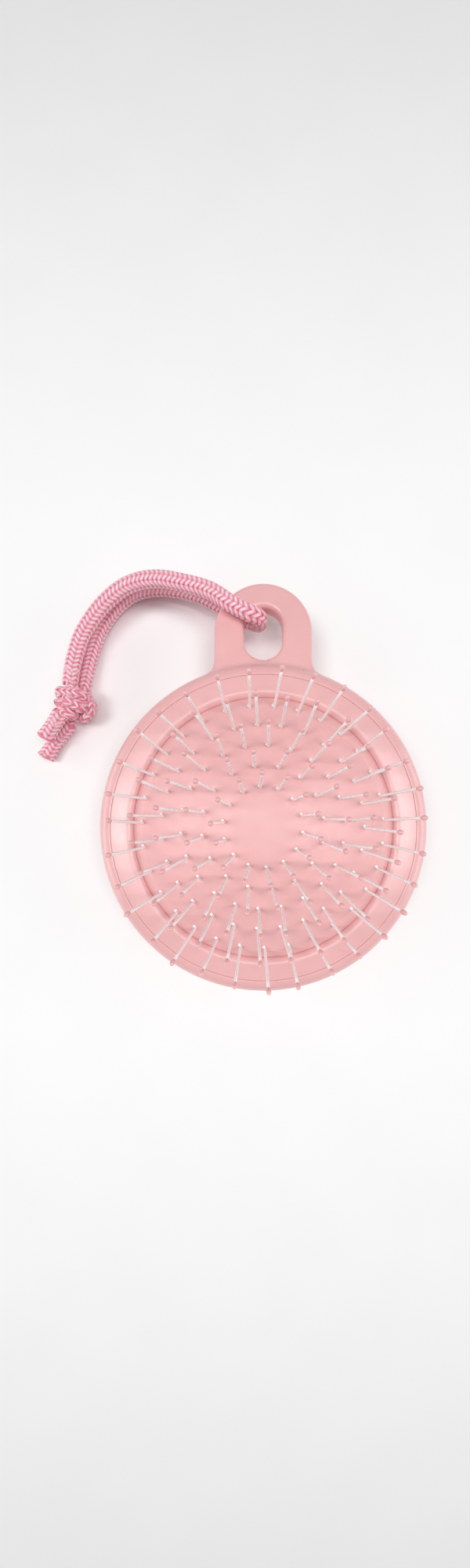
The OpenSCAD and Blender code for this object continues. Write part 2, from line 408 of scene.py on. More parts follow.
@dataclass(frozen=True)
class YarnFinish:
    """A braid yarn of fine filaments. UV x runs round the yarn and UV y along it. Its colour holds
    a painted highlight streak along the crest of each float, and painted shade where the yarn
    dives under its neighbours.
    """

    name: str
    # Colour of the painted highlight streak along each float's crest.
    painted_highlight_colour: Colour
    flank: Colour
    # The yarn's own deep pink, also used as painted shade where the yarn dives under its
    # neighbours.
    deep: Colour
    # Width of the painted highlight streak, as a share of the way round the yarn.
    painted_streak: float = 0.11
    roughness: float = 0.42
    filaments: float = 14.0
    filament_depth_mm: float = 0.03

    def build(self) -> bpy.types.Material:
        """Returns the material."""
        s = Shader(self.name)
        uv = s.node("ShaderNodeUVMap", uv_map="yarn").outputs["UV"]
        axes = s.node("ShaderNodeSeparateXYZ", {"Vector": uv})
        round_yarn = axes.outputs["X"]
        lift = s.node("ShaderNodeAttribute", attribute_name="lift").outputs["Fac"]
        lane = s.node("ShaderNodeMapping", {"Vector": uv, "Scale": (self.filaments, 0.5, 1)})
        strands = s.noise(1000 / 1.6, 2.0, lane.outputs["Vector"])
        # Painted highlight: a pale streak along the crest of each yarn where it floats, broken up
        # by the filament noise.
        off_crest = s.node("ShaderNodeMath", {0: round_yarn, 1: 0.25}, operation="SUBTRACT")
        aside = s.node("ShaderNodeMath", {0: off_crest.outputs[0]}, operation="ABSOLUTE")
        crest = s.ramp(aside.outputs[0], self.painted_streak / 2, self.painted_streak, 1.0, 0.0)
        afloat = s.ramp(lift, 0.45, 0.85, 0.0, 1.0)
        painted_streak = s.node("ShaderNodeMath", {0: crest, 1: afloat}, operation="MULTIPLY").outputs[0]
        wisps = s.ramp(strands, 0.36, 0.64, 0.35, 1.0)
        painted_highlight_mask = s.node("ShaderNodeMath", {0: painted_streak, 1: wisps}, operation="MULTIPLY").outputs[0]
        # The yarn's own pinks with painted shade: darker where the yarn dives under its
        # neighbours, lighter where it floats.
        tone = s.mix(s.ramp(lift, 0.1, 0.8, 0.0, 1.0), linear(self.deep), linear(self.flank))
        s.set(
            Base_Color=s.mix(painted_highlight_mask, tone, linear(self.painted_highlight_colour)),
            Roughness=s.ramp(strands, 0.3, 0.7, self.roughness + 0.12, self.roughness - 0.1),
            Normal=s.bump(strands, self.filament_depth_mm),
            Sheen_Weight=0.2,
            Sheen_Roughness=0.4,
            Subsurface_Weight=0.2,
            Subsurface_Scale=0.5 * MM,
        )
        return s.material


# ---- Housing ----


@dataclass
class Housing:
    """The moulded shell: round body, chamber, seat rib, hanging tab and slot."""

    wall: float = 2.4
    floor: float = 2.4
    lip_r: float = 5.0
    back_r: float = 6.0
    groove: float = 0.3
    ring_t: float = 3.2
    bevel: float = 1.2
    ledge_w: float = 1.2
    ledge_t: float = 2.0
    rib_out_r: float = 45.2
    rib_w: float = 2.2
    rib_drop: float = 4.8
    tab_half_w: float = 16.25
    tab_t: float = 5.5
    tab_drop: float = 2.5
    tab_edge_r: float = 1.8
    tab_fillet_r: float = 5.0
    crease_r: float = 1.0
    slot_half_w: float = 6.4
    slot_run: float = 4.4
    slot_shift: float = 1.8
    slot_edge_r: float = 1.5
    root_depth: float = 1.2
    sunk: float = 0.08
    segments: int = 288
    tab_pitch: float = 0.45

    def __post_init__(self) -> None:
        """Takes the overall sizes from the frame."""
        _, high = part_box("housing")
        self.body_r = high.x / MM
        self.body_h = round(high.z / MM, 1)
        self.tab_y = high.y / MM - self.tab_half_w

    def profile(self) -> list:
        """Returns the closed section of the round body, from the axis out and back."""
        h, bore = self.body_h, self.body_r - self.lip_r
        shelf = h - self.ring_t
        inner, corner = self.body_r - self.wall, self.back_r - self.wall
        rib_top, rib_in = h - self.rib_drop, self.rib_out_r - self.rib_w
        outside = [(0, 0), (12, 0), (24, 0), (36, 0)]
        outside += arc(self.body_r - self.back_r, self.back_r, self.back_r, -90, 0, 14)
        outside += arc(bore, h - self.lip_r, self.lip_r, 0, 84, 18)
        crest = arc(bore + self.groove, h - self.groove, self.groove, 88, 180, 6)
        inside = [(bore, h - self.bevel), (bore, shelf)]
        inside += [(bore - self.ledge_w, shelf), (bore - self.ledge_w, shelf - self.ledge_t)]
        inside += [(inner, shelf - self.ledge_t)]
        inside += arc(inner - corner, self.floor + corner, corner, 0, -90, 6)
        inside += [(self.rib_out_r, self.floor), (self.rib_out_r, rib_top)]
        inside += [(rib_in, rib_top), (rib_in, self.floor), (0, self.floor)]
        return outside + crest + inside

    def round_body(self, p: np.ndarray) -> np.ndarray:
        """Returns the distance to the round body's outside."""
        q, z, half = np.hypot(p[:, 0], p[:, 1]), p[:, 2], self.body_h / 2
        r = np.where(z > half, self.lip_r, self.back_r)
        dx, dz = q - self.body_r + r, np.abs(z - half) - half + r
        beyond = np.hypot(np.maximum(dx, 0), np.maximum(dz, 0))
        return np.minimum(np.maximum(dx, dz), 0) + beyond - r

    def tab_solid(self, p: np.ndarray) -> np.ndarray:
        """Returns the distance to the tab, with the skin that blends it into the body.

        The skin lies a little under the body's own face wherever the tab doesn't raise it,
        and it ends near the tab and short of the body's front.

        Args:
            p: points, in millimetres.

        Returns:
            One distance for each point, negative inside.
        """
        body = self.round_body(p)
        q = np.hypot(p[:, 0], p[:, 1])
        bar = capsule(p, 0, self.tab_y, self.tab_half_w)
        plan = round_union(bar, q - self.body_r + self.root_depth, self.tab_fillet_r)
        top = self.body_h - self.tab_drop
        height = np.abs(p[:, 2] - top + self.tab_t / 2) - self.tab_t / 2
        plate = round_overlap(plan, height, self.tab_edge_r)
        slot_y = self.tab_y + self.slot_shift
        slot = capsule(p, slot_y - self.slot_run, slot_y, self.slot_half_w)
        whole = round_union(plate, body, self.crease_r)
        whole = round_overlap(whole, -slot, self.slot_edge_r)
        proud = np.clip((body - whole) / 0.1, 0, 1)
        skin = whole + self.sunk * (1 - proud)
        near_tab = np.maximum(-body - 1.4, plate - 1.5 * self.crease_r)
        near_tab = np.maximum(near_tab, self.body_r - 4.0 - q)
        return np.maximum(np.maximum(skin, near_tab), p[:, 2] - self.body_h + 0.25)

    def build(self) -> bpy.types.Object:
        """Returns the housing as one object."""
        shell = lathe(self.profile(), self.segments)
        reach = self.tab_half_w + self.tab_fillet_r + 4
        low = (-reach, self.body_r - 14, self.body_h - self.tab_drop - self.tab_t - 4)
        high = (reach, self.tab_y + self.tab_half_w + 1, self.body_h + 1)
        tab = surface_net(self.tab_solid, low, high, self.tab_pitch)
        made = build_mesh("housing_shell", join(shell, tab), 35)
        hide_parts("housing")
        return made


# ---- Retaining ring ----


@dataclass
class RetainingRing:
    """The flat ring that clamps the cushion, with the snap fingers below it."""

    width: float = 6.85
    edge_r: float = 2.2
    edge_drop: float = 1.5
    groove: float = 0.3
    play: float = 0.1
    plate_t: float = 3.2
    bevel: float = 1.2
    flat_in: float = 1.8
    finger_count: int = 6
    finger_angle: float = 22.0
    finger_inset: float = 1.2
    finger_t: float = 1.2
    barb: float = 0.95
    barb_rise: float = 0.9
    barb_t: float = 0.38
    segments: int = 288

    def __post_init__(self) -> None:
        """Takes the ring's outside and heights from the frame."""
        low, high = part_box("retaining_ring")
        self.outer_r, self.top, self.low = high.x / MM, high.z / MM, low.z / MM
        self.bottom = self.top - self.plate_t

    def plate(self) -> tuple:
        """Returns the ring itself."""
        inner, outer = self.outer_r - self.width, self.outer_r + self.play
        profile = [(inner, self.bottom), (outer, self.bottom), (outer, self.top - self.bevel)]
        profile += arc(outer - self.groove, self.top - self.groove, self.groove, 0, 90, 6)
        profile += [(inner + self.edge_r + self.flat_in, self.top)]
        edge = arc(0, 0, 1, 90, 180, 14)
        profile += [
            (inner + self.edge_r * (1 + x), self.top - self.edge_drop * (1 - y)) for x, y in edge
        ]
        return lathe(profile, self.segments, closed=True)

    def finger(self, turn: float) -> tuple:
        """Returns one snap finger, from its root in the ring to its sloping barb."""
        out, root = self.outer_r - self.finger_inset, self.bottom + 0.5
        tip, barb_top = self.low + self.barb_rise, self.low + self.barb_rise + self.barb_t
        section = [
            (out - self.finger_t, root),
            (out - self.finger_t, self.low),
            (out, self.low),
            (out + self.barb, tip),
            (out + self.barb, barb_top),
            (out, barb_top),
            (out, root),
        ]
        steps, n = 8, len(section)
        turns = [math.radians(turn + self.finger_angle * i / steps) for i in range(steps + 1)]
        points = [(r * math.cos(t), r * math.sin(t), z) for t in turns for r, z in section]
        faces = [
            (i * n + k, i * n + (k + 1) % n, (i + 1) * n + (k + 1) % n, (i + 1) * n + k)
            for i in range(steps)
            for k in range(n)
        ]
        faces += [tuple(range(n)), tuple(steps * n + k for k in reversed(range(n)))]
        return np.array(points), faces

    def build(self) -> bpy.types.Object:
        """Returns the ring and its fingers as one object."""
        fingers = [self.finger(i * 360 / self.finger_count) for i in range(self.finger_count)]
        made = build_mesh("retaining_ring_smooth", join(self.plate(), *fingers), 35)
        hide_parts("retaining_ring")
        return made


# ---- Cushion and pins ----


@dataclass(frozen=True)
class PinRing:
    """One ring of pins: its number from the inside, and the angle of its first pin."""

    number: int
    spacing: float
    phase: float


@dataclass
class PinField:
    """Where the pins stand: rings on a dome, each pin square to it."""

    rings: tuple = (
        PinRing(1, 5.6, 17.6),
        PinRing(2, 7.4, 8.3),
        PinRing(3, 7.3, 4.8),
        PinRing(4, 7.45, 0.0),
        PinRing(5, 7.8, 3.6),
    )
    pitch: float = 6.55
    edge_margin: float = 1.2
    dome_h: float = 5.0
    shoulder_r: float = 2.0
    flange_w: float = 3.4

    def __post_init__(self) -> None:
        """Takes the dome's top and its rim from the frame."""
        low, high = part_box("rubber_cushion")
        self.top, self.foot = high.z / MM, low.z / MM
        self.flange_r = high.x / MM
        self.cushion_r = self.flange_r - self.flange_w
        self.dome_r = self.cushion_r - self.shoulder_r

    def radius(self, ring: PinRing) -> float:
        """Returns the radius of a ring of pins."""
        return self.dome_r - self.edge_margin - (len(self.rings) - ring.number) * self.pitch

    def count(self, ring: PinRing) -> int:
        """Returns the number of pins in a ring."""
        return round(2 * math.pi * self.radius(ring) / ring.spacing)

    def height(self, r: float) -> float:
        """Returns the height of the dome at a radius."""
        return self.top - self.dome_h * (r / self.dome_r) ** 2

    def tilt(self, r: float) -> float:
        """Returns the outward lean of a pin at a radius, in radians."""
        return math.atan(2 * self.dome_h * r / self.dome_r**2)

    def roots(self) -> np.ndarray:
        """Returns the (x, y) of every pin's root."""
        spots = []
        for ring in self.rings:
            r, n = self.radius(ring), self.count(ring)
            turns = np.radians(ring.phase + np.arange(n) * 360 / n)
            spots.append(np.stack([r * np.cos(turns), r * np.sin(turns)], 1))
        return np.concatenate(spots)


@dataclass
class Cushion:
    """The rubber membrane, dimpled where the pins pull on it."""

    pins: PinField
    thickness: float = 1.5
    flange_t: float = 1.6
    dimple: float = 0.34
    dimple_r: float = 1.05
    ring_play: float = 0.17
    skirt_drop: float = 0.95
    rim_w: float = 0.9
    segments: int = 384
    dome_steps: int = 72

    def profile(self) -> list:
        """Returns the membrane's section, from the top of the dome round to its underside."""
        p = self.pins
        inner, edge = p.cushion_r - self.thickness, p.height(p.dome_r)
        clamp, rim = p.foot + self.flange_t, p.cushion_r + self.ring_play
        crest_r = p.dome_r - self.rim_w
        dome = [(r, p.height(r)) for r in np.linspace(0, crest_r, self.dome_steps)]
        start, drop = dome[-1][1], edge - self.skirt_drop - dome[-1][1]
        shoulder = [
            (crest_r + (rim - p.dome_r + self.rim_w) * t, start + drop * t * t * (1.6 - 0.6 * t))
            for t in np.linspace(0, 1, 10)[1:]
        ]
        shoulder += [(rim, clamp + 0.3)]
        flange = [(p.cushion_r, clamp), (p.flange_r, clamp), (p.flange_r, p.foot), (inner, p.foot)]
        under = [(r, p.height(r) - self.thickness) for r in np.linspace(inner, 0, 14)]
        return dome + shoulder + flange + under

    def build(self) -> bpy.types.Object:
        """Returns the membrane."""
        points, faces = lathe(self.profile(), self.segments)
        outer = 1 + (self.dome_steps - 1) * self.segments
        spots = points[:outer]
        dip = np.zeros(outer)
        for x, y in self.pins.roots():
            near = ((spots[:, 0] - x) ** 2 + (spots[:, 1] - y) ** 2) / self.dimple_r**2
            dip += np.exp(-near)
        spots[:, 2] -= self.dimple * dip
        made = build_mesh("rubber_membrane", (points, faces), 50)
        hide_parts("rubber_cushion")
        return made


class PieceTree(NodeWriter):
    """A Geometry Nodes tree under construction, with named inputs for its sizes."""

    def __init__(self, name: str) -> None:
        """Starts a tree with a geometry output."""
        self.tree = bpy.data.node_groups.new(name, "GeometryNodeTree")
        face = self.tree.interface
        face.new_socket("Geometry", in_out="OUTPUT", socket_type="NodeSocketGeometry")
        self.start = self.tree.nodes.new("NodeGroupInput")
        self.end = self.tree.nodes.new("NodeGroupOutput")
        self.values: dict = {}

    def size(self, name: str, value: float, kind: str = "NodeSocketFloat") -> object:
        """Adds a named input with its value and returns its socket inside the tree."""
        made = self.tree.interface.new_socket(name, in_out="INPUT", socket_type=kind)
        self.values[made.identifier] = value
        return self.start.outputs[name]

    def math(self, operation: str, a: object, b: object = 0.0) -> object:
        """Returns a number worked out from two others."""
        return self.node("ShaderNodeMath", {0: a, 1: b}, operation=operation).outputs[0]

    def point(self, x: object = 0.0, y: object = 0.0, z: object = 0.0) -> object:
        """Returns a vector from three numbers."""
        return self.node("ShaderNodeCombineXYZ", {0: x, 1: y, 2: z}).outputs[0]

    def join(self, *parts: object) -> object:
        """Returns several geometries as one."""
        made = self.node("GeometryNodeJoinGeometry")
        for part in parts:
            self.tree.links.new(part, made.inputs[0])
        return made.outputs[0]

    def cone(self, sides: int, low_r: float, high_r: float, depth: float, rows: int = 1) -> object:
        """Returns a cone on the origin, given in millimetres."""
        inputs = {
            "Vertices": sides,
            "Side Segments": rows,
            "Radius Bottom": low_r * MM,
            "Radius Top": high_r * MM,
            "Depth": depth * MM,
        }
        return self.node("GeometryNodeMeshCone", inputs).outputs[0]

    def ball(self, segments: int, rings: int, radius: float) -> object:
        """Returns a ball about the origin, given in millimetres."""
        inputs = {"Segments": segments, "Rings": rings, "Radius": radius * MM}
        return self.node("GeometryNodeMeshUVSphere", inputs).outputs[0]

    def moved(self, part: object, height: float, scale: tuple = (1, 1, 1)) -> object:
        """Returns a part raised by some millimetres and scaled."""
        inputs = {0: part, "Translation": (0, 0, height * MM), "Scale": scale}
        return self.node("GeometryNodeTransform", inputs).outputs[0]

    def shifted(self, points: object, **way: object) -> object:
        """Returns points or a mesh moved by an offset, or to a new Position."""
        return self.node("GeometryNodeSetPosition", {0: points, **way}).outputs[0]

    def scatter(self, spots: tuple, part: object) -> object:
        """Returns a copy of the part at every spot, given as points and their rotation."""
        points, rotation = spots
        inputs = {"Points": points, "Instance": part, "Rotation": rotation}
        return self.node("GeometryNodeInstanceOnPoints", inputs).outputs[0]

    def finish(self, geometry: object, material: bpy.types.Material) -> None:
        """Ends the tree in Realize Instances and Set Material."""
        real = self.node("GeometryNodeRealizeInstances", {0: geometry}).outputs[0]
        smooth = self.node("GeometryNodeSetShadeSmooth", {0: real}).outputs[0]
        painted = self.node("GeometryNodeSetMaterial", {0: smooth, "Material": material})
        self.tree.links.new(painted.outputs[0], self.end.inputs[0])

    def mesh_object(self, name: str) -> bpy.types.Object:
        """Returns the tree's result as a plain mesh object with no modifier."""
        holder = add_object(name + "_tree", bpy.data.meshes.new(name + "_tree"))
        modifier = holder.modifiers.new("tree", "NODES")
        modifier.node_group = self.tree
        for key, value in self.values.items():
            modifier[key] = value
        shown = holder.evaluated_get(bpy.context.evaluated_depsgraph_get())
        mesh = bpy.data.meshes.new_from_object(shown)
        mesh.name = name
        bpy.data.objects.remove(holder)
        return add_object(name, mesh)


@dataclass
class PinMaker:
    """Grows the pins and their ball tips out of the cushion with Geometry Nodes."""

    field: PinField
    pin_r: float = 0.45
    bare: float = 16.0
    head_r: float = 1.2
    head_t: float = 0.7
    head_drop: float = 1.65
    root_r: float = 0.55
    root_shift: float = 0.55
    tip_r: float = 0.76
    tip_len: float = 2.7
    tip_neck: float = 0.62
    grip: float = 1.2
    lean_degrees: float = 3.2

    def places(self, tree: PieceTree, ring: PinRing) -> tuple:
        """Lays out the roots of one ring.

        Args:
            tree: the tree to build in.
            ring: the ring of pins.

        Returns:
            The points, and each one's rotation.
        """
        r = self.field.radius(ring)
        count = tree.size("Count", self.field.count(ring), "NodeSocketInt")
        radius = tree.size("Ring Radius", r * MM)
        height = tree.size("Root Height", self.field.height(r) * MM)
        tilt = tree.size("Tilt", self.field.tilt(r))
        phase = tree.size("Phase", math.radians(ring.phase))
        lean = tree.size("Lean", math.radians(self.lean_degrees))
        index = tree.node("GeometryNodeInputIndex").outputs[0]
        share = tree.math("DIVIDE", index, count)
        turn = tree.math("ADD", tree.math("MULTIPLY", share, 2 * math.pi), phase)
        spot = tree.point(
            tree.math("MULTIPLY", radius, tree.math("COSINE", turn)),
            tree.math("MULTIPLY", radius, tree.math("SINE", turn)),
            height,
        )
        points = tree.node("GeometryNodePoints", {"Count": count, "Position": spot}).outputs[0]
        back = tree.math("MULTIPLY", lean, -1.0)
        sway = [
            tree.node(
                "FunctionNodeRandomValue",
                {2: back, 3: lean, "ID": index, "Seed": 10 * ring.number + k},
                data_type="FLOAT",
            ).outputs[1]
            for k in (0, 1)
        ]
        rotation = tree.point(sway[0], tree.math("ADD", tilt, sway[1]), turn)
        return points, rotation

    def shaft(self, tree: PieceTree) -> object:
        """Returns one pin: its shaft, and its head below the rubber."""
        low = -(self.head_drop + self.head_t)
        length = self.bare + self.grip - low
        shaft = tree.cone(12, self.pin_r, 0.9 * self.pin_r, length, 6)
        head = tree.cone(16, self.head_r, 0.85 * self.head_r, self.head_t)
        return tree.join(tree.moved(shaft, low), tree.moved(head, low))

    def root(self, tree: PieceTree) -> object:
        """Returns a small nylon lump that is set beside a pin's root."""
        return tree.moved(tree.ball(12, 8, self.root_r), 0.35 * self.root_r, (1, 1, 0.9))

    def tip(self, tree: PieceTree) -> object:
        """Returns one drop-shaped tip, narrow where it meets the pin."""
        place = tree.node("GeometryNodeInputPosition").outputs[0]
        axes = tree.node("ShaderNodeSeparateXYZ", {0: place}).outputs
        narrow = tree.node(
            "ShaderNodeMapRange",
            {
                "Value": axes[2],
                "From Min": -self.tip_r * MM,
                "From Max": 0.35 * self.tip_r * MM,
                "To Min": self.tip_neck,
                "To Max": 1.0,
            },
            interpolation_type="SMOOTHSTEP",
        ).outputs[0]
        stretch = self.tip_len / (2 * self.tip_r)
        shaped = tree.point(
            tree.math("MULTIPLY", axes[0], narrow),
            tree.math("MULTIPLY", axes[1], narrow),
            tree.math("MULTIPLY", axes[2], stretch),
        )
        drop = tree.shifted(tree.ball(16, 12, self.tip_r), Position=shaped)
        return tree.moved(drop, self.bare + self.tip_len / 2)

    def build_pins(self, ring: PinRing, material: bpy.types.Material) -> bpy.types.Object:
        """Returns one ring of pins as a plain mesh."""
        tree = PieceTree(f"pins_{ring.number}")
        points, rotation = self.places(tree, ring)
        shafts = tree.scatter((points, rotation), self.shaft(tree))
        # Every lump sits the same step towards -X and +Y from its root, whichever way its pin
        # leans.
        aside = tree.size("Root Shift", self.root_shift * MM)
        offset = tree.point(tree.math("MULTIPLY", aside, -0.7), aside, 0.0)
        roots = tree.scatter((tree.shifted(points, Offset=offset), rotation), self.root(tree))
        tree.finish(tree.join(shafts, roots), material)
        made = tree.mesh_object(f"nylon_pins_{ring.number}")
        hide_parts(f"pins_ring_{ring.number}")
        return made

    def build_tips(self, ring: PinRing, material: bpy.types.Material) -> bpy.types.Object:
        """Returns one ring of ball tips as a plain mesh."""
        tree = PieceTree(f"tips_{ring.number}")
        tree.finish(tree.scatter(self.places(tree, ring), self.tip(tree)), material)
        made = tree.mesh_object(f"resin_tips_{ring.number}")
        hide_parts(f"ball_tips_{ring.number}")
        return made


# ---- Cord ----


FRONT_LEG = (
    (-1.1, 69.2, 12.75), (-1.12, 69.05, 13.4), (-1.35, 68.4, 15.3), (-2.4, 68.05, 17.2),
    (-4.6, 68.2, 18.4), (-7.4, 69.4, 18.7), (-10.5, 71.1, 18.6), (-16.7, 75.4, 18),
    (-26.5, 79.2, 16.5), (-34.5, 81.6, 14.8), (-41.5, 82, 13.2), (-48, 80.4, 11.8),
    (-55.3, 75.4, 10.4), (-60, 70.2, 9.5), (-63.2, 65.1, 9), (-65.2, 59.4, 8.7),
    (-66.3, 54.4, 8.7), (-66.8, 49.4, 8.9),
)
BACK_LEG = (
    (-1.1, 69.2, 12.75), (-1.08, 69.35, 12.1), (-1.15, 69.6, 10.3), (-1.6, 70.2, 8.9),
    (-2.7, 71.1, 7.6), (-4.6, 72.2, 6.7), (-7.2, 73.8, 6.1), (-10.4, 75.8, 5.6),
    (-16.4, 79.7, 4.9), (-22.5, 83, 4.4), (-29.4, 85.2, 3.8), (-37.7, 86.4, 3.2),
    (-46, 85.2, 2.8), (-52.1, 81.2, 2.7), (-56.4, 76.2, 2.7), (-59.6, 70.8, 2.8),
    (-61.5, 65.6, 3), (-62.9, 60.4, 3.2), (-64, 55.2, 3.5), (-64.9, 49, 4.2),
)
UPPER_TAIL = ((-69.1, 39, 10.3), (-72.4, 35.3, 9), (-75.5, 31.4, 8.2))
LOWER_TAIL = ((-70.2, 36.8, 3.1), (-74.5, 31.8, 2.9), (-78.8, 25.6, 2.8))


def smooth_route(route: Sequence, step: float = 0.4) -> np.ndarray:
    """Runs one smooth curve through a route's points.

    Args:
        route: the points, in millimetres.
        step: spacing of the result.

    Returns:
        Evenly spaced points along a centripetal Catmull-Rom curve.
    """
    p = np.array(route, float)
    p = np.vstack([2 * p[0] - p[1], p, 2 * p[-1] - p[-2]])
    curve = []
    for a, b, c, d in zip(p, p[1:], p[2:], p[3:]):
        t0, t1, t2, t3 = np.cumsum(
            [0.0] + [max(np.linalg.norm(v) ** 0.5, 1e-6) for v in (b - a, c - b, d - c)]
        )
        for t in np.linspace(t1, t2, 24, endpoint=False):
            a1 = (t1 - t) / (t1 - t0) * a + (t - t0) / (t1 - t0) * b
            a2 = (t2 - t) / (t2 - t1) * b + (t - t1) / (t2 - t1) * c
            a3 = (t3 - t) / (t3 - t2) * c + (t - t2) / (t3 - t2) * d
            b1 = (t2 - t) / (t2 - t0) * a1 + (t - t0) / (t2 - t0) * a2
            b2 = (t3 - t) / (t3 - t1) * a2 + (t - t1) / (t3 - t1) * a3
            curve.append((t2 - t) / (t2 - t1) * b1 + (t - t1) / (t2 - t1) * b2)
    curve.append(p[-2])
    return even_steps(np.array(curve), step)


def even_steps(curve: np.ndarray, step: float) -> np.ndarray:
    """Returns the curve resampled at even steps of about that length."""
    run = np.concatenate([[0], np.cumsum(np.linalg.norm(np.diff(curve, axis=0), axis=1))])
    count = max(4, round(run[-1] / step))
    marks = np.linspace(0, run[-1], count + 1)
    return np.stack([np.interp(marks, run, curve[:, i]) for i in range(3)], 1)


def carried_frames(path: np.ndarray) -> tuple:
    """Returns two normals at each point of a path, carried along it without twist."""
    along = np.gradient(path, axis=0)
    along /= np.linalg.norm(along, axis=1)[:, None]
    seed = np.array([0.0, 0.0, 1.0]) if abs(along[0][2]) < 0.9 else np.array([1.0, 0.0, 0.0])
    first = np.zeros_like(path)
    side = np.cross(along[0], seed)
    for i, t in enumerate(along):
        side = side - t * (side @ t)
        side /= np.linalg.norm(side)
        first[i] = side
    return first, np.cross(along, first)


def tube_faces(rings: int, sides: int) -> list:
    """Returns the faces of a closed tube whose points run ring by ring."""
    faces = [
        (i * sides + s, i * sides + t, (i + 1) * sides + t, (i + 1) * sides + s)
        for i in range(rings - 1)
        for s, t in zip(range(sides), [*range(1, sides), 0])
    ]
    last = (rings - 1) * sides
    return faces + [tuple(reversed(range(sides))), tuple(range(last, last + sides))]


@dataclass
class Braid:
    """A round braid: yarns wound both ways, each passing over two and under two."""

    diameter: float = 5.2
    carriers: int = 8
    lay: float = 13.2
    yarn_w: float = 1.36
    yarn_t: float = 0.7
    weave: float = 0.24
    sides: int = 8
    step: float = 0.4

    def yarns(self, path: np.ndarray, swell: np.ndarray) -> tuple:
        """Winds the yarns along a path.

        Args:
            path: evenly spaced points of the centreline.
            swell: the cord's thickness at each point, as a share of its diameter.

        Returns:
            Points, faces, one (round, along) coordinate for each face corner, and one
            number for each point, from 0 where its yarn dives to 1 where it floats.
        """
        n1, n2 = carried_frames(path)
        run = np.concatenate([[0], np.cumsum(np.linalg.norm(np.diff(path, axis=0), axis=1))])
        base_r = self.diameter / 2 - self.yarn_t / 2 - self.weave
        phi = np.arange(self.sides) * 2 * math.pi / self.sides
        rings, points, faces, corners, lift = len(path), [], [], [], []
        shell = tube_faces(rings, self.sides)
        rounds = [(s / self.sides, (s + 1) / self.sides) for s in range(self.sides)]
        for way in (1, -1):
            for k in range(self.carriers):
                turn = way * 2 * math.pi * run / self.lay + 2 * math.pi * k / self.carriers
                cross = np.tanh(2.2 * np.sin(4 * turn)) / math.tanh(2.2)
                r = (base_r + way * self.weave * cross) * swell
                out = np.cos(turn)[:, None] * n1 + np.sin(turn)[:, None] * n2
                middle = path + r[:, None] * out
                heading = np.gradient(middle, axis=0)
                heading /= np.linalg.norm(heading, axis=1)[:, None]
                across = np.cross(heading, out)
                across /= np.linalg.norm(across, axis=1)[:, None]
                half_w = self.yarn_w / 2 * swell
                ring = (
                    middle[:, None, :]
                    + (half_w[:, None] * np.cos(phi))[:, :, None] * across[:, None, :]
                    + (self.yarn_t / 2 * np.sin(phi))[None, :, None] * out[:, None, :]
                )
                start = sum(map(len, points))
                points.append(ring.reshape(-1, 3))
                lift.append(np.repeat(0.5 + 0.5 * way * np.sin(4 * turn), self.sides))
                faces += [tuple(start + i for i in face) for face in shell]
                for low, high in zip(run, run[1:]):
                    for u0, u1 in rounds:
                        corners += [(u0, low), (u1, low), (u1, high), (u0, high)]
                for end in (run[0], run[-1]):
                    corners += [(0.25, end)] * self.sides
        return np.concatenate(points), faces, corners, np.concatenate(lift)

    def core(self, path: np.ndarray, swell: np.ndarray) -> tuple:
        """Returns the solid core below the yarns."""
        return tube(path, (self.diameter / 2 - self.yarn_t - self.weave * 0.6) * swell, 14)


def tube(path: np.ndarray, radius: np.ndarray, sides: int) -> tuple:
    """Returns a closed tube of varying radius along a path."""
    n1, n2 = carried_frames(path)
    phi = np.arange(sides) * 2 * math.pi / sides
    ring = np.cos(phi)[:, None] * n1[:, None, :] + np.sin(phi)[:, None] * n2[:, None, :]
    points = (path[:, None, :] + np.asarray(radius)[:, None, None] * ring).reshape(-1, 3)
    return points, tube_faces(len(path), sides)


